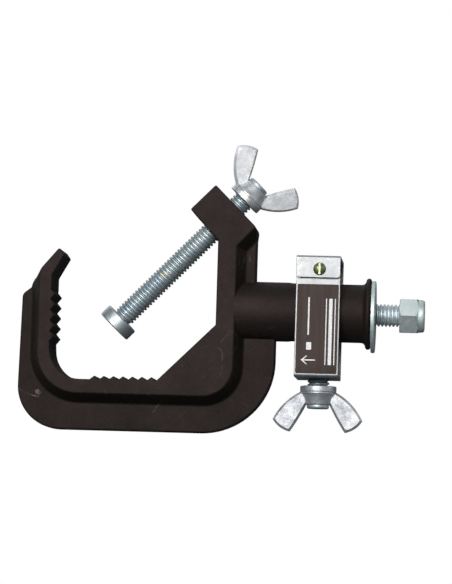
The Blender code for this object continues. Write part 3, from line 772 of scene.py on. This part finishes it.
def make_label(film, ink):
    """Dark film with a plain arrow and plain bars printed on it."""
    low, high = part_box("strap_label")
    outline = rectangle(low.x, low.z, high.x, high.z, 0.0006)
    film_front = low.y + 0.00003
    ink_back = low.y + 0.00005
    label = new_piece("label_film", slab("label_film", outline, film_front, high.y))
    dress(label, film, "root", "strap_label")
    x, z = low.x, low.z
    arrow = [
        (x + 0.0028, z + 0.0070),
        (x + 0.0058, z + 0.0046),
        (x + 0.0061, z + 0.0049),
        (x + 0.0041, z + 0.0067),
        (x + 0.0104, z + 0.0067),
        (x + 0.0104, z + 0.0073),
        (x + 0.0041, z + 0.0073),
        (x + 0.0061, z + 0.0091),
        (x + 0.0058, z + 0.0094),
    ]
    bars = [
        rectangle(x + 0.0055, z + 0.0125, x + 0.0082, z + 0.0165),
        rectangle(x + 0.0060, z + 0.0205, x + 0.0068, z + 0.0405, 0.0002),
        rectangle(x + 0.0155, z + 0.0045, x + 0.0160, z + 0.0400, 0.0002),
        rectangle(x + 0.0172, z + 0.0045, x + 0.0190, z + 0.0400, 0.0004),
        rectangle(x + 0.0202, z + 0.0045, x + 0.0207, z + 0.0400, 0.0002),
    ]
    for i, outline in enumerate([arrow, *bars]):
        name = "label_arrow" if i == 0 else f"label_bar_{i}"
        mark = new_piece(name, slab(name, outline, low.y, ink_back))
        dress(mark, ink, "root", None)


# ---------------------------------------------------------------- washer, stud and lock nut

WASHER_HOLE_RADIUS = 0.0073
WASHER_EDGE = 0.0005
HALF_FLATS = 0.0090
NUT_COLLAR_HEIGHT = 0.0034
NUT_TWIST = radians(3.0)


def make_washer(material):
    """Pressed washer: its outer face's edge is rounded, its inner one sharper."""
    low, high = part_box("plate_washer")
    place = axis_frame((low.x, 0.0, (low.z + high.z) / 2), (1.0, 0.0, 0.0))
    thick, outer = high.x - low.x, (high.z - low.z) / 2
    profile = [
        (WASHER_HOLE_RADIUS, thick),
        (outer - WASHER_EDGE, thick),
        *arc((outer - WASHER_EDGE, thick - WASHER_EDGE), WASHER_EDGE, 70, 0, 3),
        (outer, 0.0003),
        (outer - 0.0002, 0.0),
        (WASHER_HOLE_RADIUS, 0.0),
    ]
    washer = new_piece("washer_pressed", lathe("washer_pressed", profile, place, 96, closed=True))
    smooth(washer)
    dress(washer, material, "washer", "plate_washer")


def make_stud(material):
    """Threaded where it shows, with a plain shank in the spindle."""
    low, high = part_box("mounting_stud")
    start, end = low.x - DATUM.x, high.x - DATUM.x
    thread_start, shank_end, shank_radius = 0.0826, 0.0832, 0.0056
    body = thread(thread_start, end, STUD_CREST, STUD_ROOT)
    shank = [
        (0.0, shank_end),
        (shank_radius, shank_end),
        (shank_radius, start + 0.0006),
        (shank_radius - 0.0006, start),
        (0.0, start),
    ]
    add_lathe(body, shank)
    stud = new_piece("stud_threaded", from_bmesh("stud_threaded", body, STEM))
    shade(stud, THREAD_SHADE)
    dress(stud, material, "swivel", "mounting_stud")


def hexagon(name, height, corner_radius, place):
    """A plain hexagonal bar, turned a little about its axis."""
    body = bmesh.new()
    rise = Matrix.Translation((0.0, 0.0, height / 2)) @ Matrix.Rotation(NUT_TWIST, 4, "Z")
    bmesh.ops.create_cone(body, cap_ends=True, segments=6, radius1=corner_radius,
                          radius2=corner_radius, depth=height, matrix=rise)
    return from_bmesh(name, body, place)


def make_lock_nut(place, tall, material):
    """Hexagon nut with chamfered corners, a rolled collar and a groove for its nylon ring."""
    corner = HALF_FLATS / cos(pi / 6)
    shoulder = tall - NUT_COLLAR_HEIGHT
    nut = new_piece("lock_nut_hex", hexagon("lock_nut_hex", shoulder, corner, place))
    chamfer = [
        (0.0, shoulder + 0.0010),
        (HALF_FLATS - 0.0004, shoulder + 0.0010),
        (HALF_FLATS - 0.0002, shoulder + 0.0001),
        (corner + 0.0003, shoulder - 0.0013),
        (corner + 0.0003, 0.0012),
        (HALF_FLATS - 0.0001, 0.0),
        (0.0, 0.0),
    ]
    boolean(nut, lathe("chamfer", chamfer, place, 96), "INTERSECT")
    collar = [
        (0.0, tall),
        (0.0074, tall),
        *arc((0.0074, tall - 0.0013), 0.0013, 85, 8, 6),
        (0.0088, tall - 0.0022),
        (0.0089, shoulder - 0.0008),
        (0.0, shoulder - 0.0008),
    ]
    boolean(nut, lathe("collar", collar, place, 96), "UNION")
    hole = [
        (0.0, tall + 0.0020),
        (0.0068, tall + 0.0020),
        (0.0066, tall - 0.0007),
        (0.0077, tall - 0.0007),
        (0.0077, tall - 0.0039),
        (0.0061, tall - 0.0039),
        (0.0061, 0.0010),
        (0.0073, -0.0002),
        (0.0, -0.0002),
    ]
    boolean(nut, lathe("hole", hole, place, 64), "DIFFERENCE")
    smooth(nut, 25.0)
    dress(nut, material, "nut", "lock_nut")


def make_nut_ring(place, tall, material):
    """The nylon ring under the lock nut's rolled collar."""
    profile = [
        (0.0063, tall - 0.0010),
        (0.0068, tall - 0.0010),
        (0.0074, tall - 0.0012),
        (0.0074, tall - 0.0036),
        (0.0063, tall - 0.0036),
        (0.0061, tall - 0.0034),
        (0.0061, tall - 0.0013),
    ]
    ring = new_piece("nut_nylon", lathe("nut_nylon", profile, place, 64, closed=True))
    smooth(ring)
    dress(ring, material, "nut", "lock_nut_insert")


# ---------------------------------------------------------------- materials


class Finish:
    """Builder for one procedural material, in the object's own coordinates."""

    def __init__(self, name, roughness, metallic=0.0, specular=0.5):
        self.material = bpy.data.materials.new(name)
        self.material.use_nodes = True
        self.tree = self.material.node_tree
        self.shader = self.tree.nodes["Principled BSDF"]
        self.shader.inputs["Roughness"].default_value = roughness
        self.shader.inputs["Metallic"].default_value = metallic
        self.shader.inputs["Specular IOR Level"].default_value = specular
        self.place = self.tree.nodes.new("ShaderNodeTexCoord").outputs["Object"]
        self.height = None

    def node(self, kind, **values):
        """Adds a node; each value goes to the input or the setting of its name."""
        made = self.tree.nodes.new(kind)
        for key, value in values.items():
            if key in made.inputs:
                self.put(made.inputs[key], value)
            else:
                setattr(made, key, value)
        return made

    def put(self, socket, value):
        if isinstance(value, bpy.types.NodeSocket):
            self.tree.links.new(value, socket)
        else:
            socket.default_value = value

    def stretched(self, scale):
        mapping = self.node("ShaderNodeMapping")
        mapping.inputs["Scale"].default_value = scale
        self.put(mapping.inputs["Vector"], self.place)
        return mapping.outputs["Vector"]

    def axis(self, letter):
        return self.node("ShaderNodeSeparateXYZ", Vector=self.place).outputs[letter]

    def noise(self, scale, detail=2.0, roughness=0.5, stretch=None, distortion=0.0):
        vector = self.stretched(stretch) if stretch else self.place
        made = self.node("ShaderNodeTexNoise", Vector=vector, Scale=scale, Detail=detail,
                         Roughness=roughness, Distortion=distortion)
        return made.outputs["Fac"]

    def cells(self, scale):
        return self.node("ShaderNodeTexVoronoi", Vector=self.place, Scale=scale)

    def math(self, operation, a, b=0.0):
        made = self.node("ShaderNodeMath", operation=operation)
        self.put(made.inputs[0], a)
        self.put(made.inputs[1], b)
        return made.outputs[0]

    def band(self, value, low, high, to_low=0.0, to_high=1.0):
        """Maps value from low..high to to_low..to_high, clamped."""
        made = self.node("ShaderNodeMapRange")
        for socket, number in zip(made.inputs, (value, low, high, to_low, to_high)):
            self.put(socket, number)
        return made.outputs["Result"]

    def blend(self, amount, a, b):
        """Colour a where amount is 0, colour b where it is 1."""
        made = self.node("ShaderNodeMix", data_type="RGBA")
        self.put(made.inputs[0], amount)
        for socket, colour in ((made.inputs[6], a), (made.inputs[7], b)):
            self.put(socket, (*colour, 1.0) if isinstance(colour, tuple) else colour)
        return made.outputs[2]

    def over(self, colour, mask, strength, layer):
        """Lays a second colour over the first where the mask is 1, at the given strength."""
        return self.blend(self.math("MULTIPLY", mask, strength), colour, layer)

    def colour(self, value):
        self.put(self.shader.inputs["Base Color"], value)

    def roughness(self, value):
        self.put(self.shader.inputs["Roughness"], value)

    def bump(self, height, distance, strength=1.0):
        """Adds a layer of relief; distance is its depth in metres."""
        made = self.node("ShaderNodeBump", Height=height, Distance=distance, Strength=strength)
        if self.height is not None:
            self.put(made.inputs["Normal"], self.height)
        self.height = made.outputs["Normal"]
        self.put(self.shader.inputs["Normal"], self.height)


def hairlines(finish, scale, width):
    """Thin scratches: where a slow noise crosses its middle value, broken up and kept in patches."""
    slow = finish.noise(scale, 2.0, 0.5, distortion=0.5)
    off_middle = finish.math("ABSOLUTE", finish.math("SUBTRACT", slow, 0.5))
    line = finish.band(off_middle, 0.0, width, 1.0, 0.0)
    patch = finish.band(finish.noise(scale * 1.9, 1.0, 0.5), 0.54, 0.60)
    broken = finish.band(finish.noise(scale * 30.0, 1.0, 0.5), 0.36, 0.50)
    return finish.math("MULTIPLY", finish.math("MULTIPLY", line, patch), broken)


def scratches(finish):
    """Short strong scratches and long faint ones."""
    short = hairlines(finish, 24.0, 0.0034)
    faint = finish.math("MULTIPLY", hairlines(finish, 11.0, 0.0006), 0.35)
    return finish.math("MAXIMUM", short, faint)


def chips(finish):
    """Small round spots in a few of the cells."""
    cells = finish.cells(190.0)
    spot = finish.band(cells.outputs["Distance"], 0.02, 0.075, 1.0, 0.0)
    chosen = finish.band(cells.outputs["Color"], 0.86, 0.88)
    return finish.math("MULTIPLY", spot, chosen)


def cast_paint():
    """Near-black matt paint with a broad brownish sheen; the recessed rib is duller."""
    finish = Finish("cast_paint_worn", 0.67, specular=0.29)
    finish.shader.inputs["Specular Tint"].default_value = (1.0, 0.73, 0.69, 1.0)
    broad = finish.band(finish.noise(38.0, 4.0, 0.6), 0.32, 0.70)
    grain = finish.band(finish.noise(1100.0, 2.0, 0.6), 0.45, 0.75)
    colour = finish.blend(broad, (0.0030, 0.0030, 0.0023), (0.0055, 0.0048, 0.0040))
    colour = finish.over(colour, grain, 0.4, (0.018, 0.015, 0.013))
    colour = finish.over(colour, scratches(finish), 0.8, (0.16, 0.12, 0.115))
    colour = finish.over(colour, chips(finish), 0.6, (0.20, 0.16, 0.15))
    finish.colour(colour)
    depth = finish.math("ABSOLUTE", finish.axis("Y"))
    rib = finish.band(depth, WEB_HALF + 0.0002, WEB_HALF + 0.0030, 0.055, 0.0)
    cloud = finish.band(finish.noise(130.0, 4.0, 0.65, distortion=0.3), 0.30, 0.70, 0.035, -0.035)
    gloss = finish.math("ADD", finish.band(broad, 0.0, 1.0, 0.70, 0.635), rib)
    finish.roughness(finish.math("ADD", gloss, cloud))
    finish.bump(finish.noise(1500.0, 3.0, 0.65), 0.00015, 0.6)
    finish.bump(finish.noise(160.0, 2.0, 0.5), 0.0003, 0.25)
    return finish.material


def zinc(name, dark, light, rough, mottle=260.0, relief=0.00005, tint=(0.50, 0.47, 0.38),
         stain=0.35, gloss=0.085):
    """Zinc plating: mottled tone and gloss, warm stains, fine relief. Mottle is its scale."""
    finish = Finish(name, rough, metallic=0.88)
    broad = finish.band(finish.noise(mottle * 0.25, 3.0, 0.6), 0.30, 0.70)
    patches = finish.band(finish.noise(mottle * 0.4, 2.0, 0.5, distortion=0.4), 0.60, 0.78)
    fine = finish.band(finish.noise(mottle * 6.0, 2.0, 0.6), 0.50, 0.75)
    colour = finish.blend(broad, dark, light)
    colour = finish.over(colour, patches, stain, tint)
    finish.colour(finish.over(colour, fine, 0.30, dark))
    uneven = finish.noise(mottle * 1.5, 3.0, 0.6)
    finish.roughness(finish.band(uneven, 0.30, 0.70, rough - gloss, rough + gloss))
    finish.bump(finish.noise(mottle * 3.0, 3.0, 0.6), relief, 0.6)
    return finish


def strap_zinc():
    """Bent strip: even zinc with fine rolling lines along its length."""
    finish = zinc("strap_zinc_rolled", (0.270, 0.278, 0.286), (0.325, 0.324, 0.322), 0.52, 180.0,
                  stain=0.12, gloss=0.035)
    finish.bump(finish.noise(900.0, 2.0, 0.6, (4.0, 0.15, 0.15)), 0.00002, 0.5)
    return finish.material


def label_film():
    """Printed dark film with faint upright streaks, darker towards its lower end."""
    finish = Finish("label_film_dark", 0.55, specular=0.3)
    finish.shader.inputs["Specular Tint"].default_value = (1.0, 0.80, 0.74, 1.0)
    streak = finish.band(finish.noise(260.0, 2.0, 0.6, (3.0, 1.0, 0.12)), 0.45, 0.75)
    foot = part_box("strap_label")[0].z
    # Darker towards the label's lower end, over its last few millimetres.
    lower_end_darkening = finish.band(finish.axis("Z"), foot + 0.0005, foot + 0.0050, 0.85, 0.0)
    dust = finish.band(finish.noise(1400.0, 2.0, 0.6), 0.62, 0.80)
    colour = finish.blend(streak, (0.012, 0.0078, 0.0065), (0.024, 0.0145, 0.0115))
    colour = finish.blend(lower_end_darkening, colour, (0.003, 0.003, 0.003))
    finish.colour(finish.over(colour, dust, 0.3, (0.10, 0.08, 0.075)))
    finish.roughness(finish.band(streak, 0.0, 1.0, 0.50, 0.62))
    finish.bump(finish.noise(500.0, 2.0, 0.5), 0.00003, 0.4)
    return finish.material


def label_ink():
    """Pale ink, worn in fine patches."""
    finish = Finish("label_ink_pale", 0.5)
    worn = finish.band(finish.noise(1200.0, 3.0, 0.6), 0.30, 0.65)
    finish.colour(finish.blend(worn, (0.50, 0.49, 0.48), (0.74, 0.74, 0.74)))
    finish.bump(finish.noise(1500.0, 2.0, 0.5), 0.00002, 0.4)
    return finish.material


def moulded(name, dark, light, rough):
    """Moulded plastic: slight tone change and a fine spark-eroded grain."""
    finish = Finish(name, rough)
    tone = finish.band(finish.noise(120.0, 3.0, 0.6), 0.35, 0.68)
    finish.colour(finish.blend(tone, dark, light))
    finish.roughness(finish.band(tone, 0.0, 1.0, rough - 0.05, rough + 0.08))
    finish.bump(finish.noise(1800.0, 2.0, 0.6), 0.00005, 0.5)
    return finish.material


def machined(name, dark, light, rough):
    """Plain metal, mottled like plating, with fine tool lines across the stem's axis."""
    finish = zinc(name, dark, light, rough, 300.0, tint=light)
    finish.bump(finish.noise(2500.0, 1.0, 0.5, (3.0, 0.05, 0.05)), 0.00002, 0.5)
    return finish.material


def make_materials():
    """Every finish by its short name."""
    return {
        "paint": cast_paint(),
        "screw": zinc("screw_zinc_blue", (0.30, 0.37, 0.42), (0.44, 0.49, 0.50), 0.58, 420.0,
                      tint=(0.62, 0.58, 0.38), stain=0.7).material,
        "pad": zinc("pad_zinc_turned", (0.32, 0.38, 0.41), (0.44, 0.48, 0.50), 0.52, 200.0).material,
        "wing": zinc("wing_zinc_forged", (0.35, 0.365, 0.39), (0.72, 0.72, 0.73), 0.62, 600.0,
                     relief=0.00020, stain=0.3).material,
        # Lighter copy of the forged wing finish for the clamp nut's wings: a painted highlight, the
        # front softbox's glare on their flat faces.
        "lit_wing_copy": zinc("wing_zinc_lit_copy", (0.60, 0.62, 0.65), (0.98, 0.98, 0.98), 0.62, 600.0,
                            relief=0.00020, stain=0.3).material,
        "hub": zinc("hub_zinc_forged", (0.38, 0.41, 0.45), (0.60, 0.61, 0.62), 0.50, 190.0,
                    relief=0.00022).material,
        "strap": strap_zinc(),
        "stud": zinc("stud_zinc_bright", (0.50, 0.57, 0.60), (0.64, 0.69, 0.70), 0.56, 380.0).material,
        "plain": zinc("washer_zinc_dull", (0.50, 0.57, 0.57), (0.62, 0.68, 0.67), 0.62, 300.0).material,
        "yellow": zinc("screw_yellow_zinc", (0.19, 0.22, 0.12), (0.32, 0.34, 0.19), 0.40, 500.0,
                       tint=(0.36, 0.46, 0.34)).material,
        "label": label_film(),
        "ink": label_ink(),
        "black_nylon": moulded("nylon_black", (0.012, 0.012, 0.012), (0.025, 0.025, 0.026), 0.55),
        "white_nylon": moulded("nylon_white", (0.60, 0.60, 0.55), (0.78, 0.78, 0.74), 0.48),
        "steel": machined("steel_turned", (0.34, 0.34, 0.35), (0.52, 0.52, 0.53), 0.30),
        "spring": machined("steel_spring", (0.06, 0.06, 0.065), (0.14, 0.14, 0.15), 0.38),
        "bronze": machined("bronze_sintered", (0.30, 0.18, 0.08), (0.50, 0.32, 0.15), 0.45),
        "brass": machined("brass_turned", (0.45, 0.33, 0.12), (0.66, 0.50, 0.22), 0.32),
    }


def finish_cad_nodes(finishes):
    """Real finishes on the frame's own nodes that stay, which are the hidden inner pieces."""
    chosen = {
        "saddle_block": "black_nylon",
        "captive_nut": "plain",
        "spindle": "steel",
        "stud_pin": "spring",
        "bore_circlip": "spring",
        "pad_snap_ring": "spring",
        "inner_bush": "bronze",
        "outer_bush": "bronze",
        "thrust_washer": "plain",
        "brake_pad": "brass",
    }
    for node, finish in chosen.items():
        mesh = frame["nodes"][node].data
        mesh.materials.clear()
        mesh.materials.append(finishes[finish])


# ---------------------------------------------------------------- floor, lights and camera

WHITE = (1.0, 1.0, 1.0, 1.0)
LIGHT_TARGET = (0.06, 0.0, 0.02)
FLOOR_HEIGHT = -1.30
FLOOR_REACH = 14.0
FLOOR_GLOW = 0.86
ROOM_COLOUR = (0.80, 0.90, 1.0, 1.0)
ROOM_STRENGTH = 0.09

# Each softbox: where it stands, its width and height, and its power in watts.
SOFTBOXES = {
    "front_box": ((-0.20, -1.66, 0.50), (0.9, 0.7), 37.0),
    "back_box": ((-0.80, 1.25, 1.00), (1.6, 1.2), 10.0),
    "left_box": ((-1.70, -0.35, 0.60), (1.0, 1.0), 3.0),
    "right_box": ((1.85, -0.35, 0.60), (1.0, 1.0), 6.0),
    "top_box": ((0.05, 0.50, 1.90), (1.8, 1.4), 9.0),
}


def make_floor():
    """Pale floor far below the hanging clamp, whose soft glow only the camera sees."""
    body = bmesh.new()
    bmesh.ops.create_grid(body, x_segments=8, y_segments=8, size=FLOOR_REACH)
    place = Matrix.Translation((0.0, 0.0, FLOOR_HEIGHT))
    floor = new_piece("floor", from_bmesh("floor", body, place))
    finish = Finish("floor_pale", 0.8)
    tone = finish.band(finish.noise(3.0, 2.0, 0.5), 0.3, 0.7)
    finish.colour(finish.blend(tone, (0.25, 0.25, 0.25), (0.28, 0.28, 0.28)))
    finish.shader.inputs["Emission Color"].default_value = WHITE
    finish.shader.inputs["Emission Strength"].default_value = FLOOR_GLOW
    floor.data.materials.append(finish.material)
    floor.visible_diffuse = False
    floor.visible_glossy = False


def make_world():
    """White backdrop for the camera, a dim even room for lighting."""
    world = bpy.data.worlds.new("studio")
    bpy.context.scene.world = world
    world.use_nodes = True
    nodes, links = world.node_tree.nodes, world.node_tree.links
    nodes.clear()
    seen = nodes.new("ShaderNodeBackground")
    seen.inputs["Color"].default_value = WHITE
    seen.inputs["Strength"].default_value = 1.0
    room = nodes.new("ShaderNodeBackground")
    room.inputs["Color"].default_value = ROOM_COLOUR
    room.inputs["Strength"].default_value = ROOM_STRENGTH
    rays = nodes.new("ShaderNodeLightPath")
    mix = nodes.new("ShaderNodeMixShader")
    output = nodes.new("ShaderNodeOutputWorld")
    links.new(rays.outputs["Is Camera Ray"], mix.inputs[0])
    links.new(room.outputs[0], mix.inputs[1])
    links.new(seen.outputs[0], mix.inputs[2])
    links.new(mix.outputs[0], output.inputs["Surface"])
    bpy.context.scene.view_settings.view_transform = "Standard"


def make_lights():
    """A strong softbox in front, high and a little to the left, and four weak ones round it."""
    for name, (place, size, power) in SOFTBOXES.items():
        data = bpy.data.lights.new(name, "AREA")
        data.shape = "RECTANGLE"
        data.size, data.size_y = size
        data.energy = power
        light = bpy.data.objects.new(name, data)
        light.location = place
        towards = Vector(LIGHT_TARGET) - Vector(place)
        light.rotation_euler = towards.to_track_quat("-Z", "Y").to_euler()
        bpy.context.scene.collection.objects.link(light)


def make_camera():
    """Long lens a little below and to the right of the clamp, held with a slight roll."""
    azimuth, elevation, roll = radians(4.463), radians(-4.574), radians(1.756)
    aim, distance = Vector((0.06626, 0.0, 0.02263)), 1.7207
    back = Vector((sin(azimuth) * cos(elevation), -cos(azimuth) * cos(elevation), sin(elevation)))
    right = (-back).cross(Vector((0.0, 0.0, 1.0))).normalized()
    up = right.cross(-back)
    turn = Matrix((right, up, back)).transposed() @ Matrix.Rotation(roll, 3, "Z")
    data = bpy.data.cameras.new("camera")
    data.sensor_width = 36.0
    data.lens = 196.08
    camera = bpy.data.objects.new("camera", data)
    camera.matrix_world = Matrix.Translation(aim + back * distance) @ turn.to_4x4()
    bpy.context.scene.collection.objects.link(camera)
    bpy.context.scene.camera = camera


# ---------------------------------------------------------------- assembly


def main():
    finishes = make_materials()
    make_casting(finishes["paint"])
    make_clamp_screw(finishes["screw"])
    make_pad(finishes["pad"])
    # The clamp nut's wings take the lighter copy of the wing finish, a painted highlight.
    make_wing_nut("clamp_nut_forged", on_collar(CLAMP, CLAMP_COLLAR, CLAMP_NUT_TURN), "clamp_rod",
                  "clamp_wing_nut", finishes["hub"], finishes["lit_wing_copy"])
    lock_collar = DATUM.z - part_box("lock_wing_nut")[1].z
    make_screw("lock_rod_threaded", 0.0130, lock_collar, None, LOCK, "lock_rod", "lock_screw",
               finishes["screw"])
    make_wing_nut("lock_nut_forged", on_collar(LOCK, lock_collar), "lock_rod",
                  "lock_wing_nut", finishes["hub"], finishes["wing"])
    make_strap(finishes["strap"])
    make_strap_screw(finishes["yellow"])
    make_label(finishes["label"], finishes["ink"])
    make_washer(finishes["plain"])
    make_stud(finishes["stud"])
    nut_low, nut_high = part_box("lock_nut")
    nut_place = STEM.copy()
    nut_place.translation.x = nut_low.x
    nut_height = nut_high.x - nut_low.x
    make_lock_nut(nut_place, nut_height, finishes["plain"])
    make_nut_ring(nut_place, nut_height, finishes["white_nylon"])
    finish_cad_nodes(finishes)
    make_floor()
    make_world()
    make_lights()
    make_camera()


main()
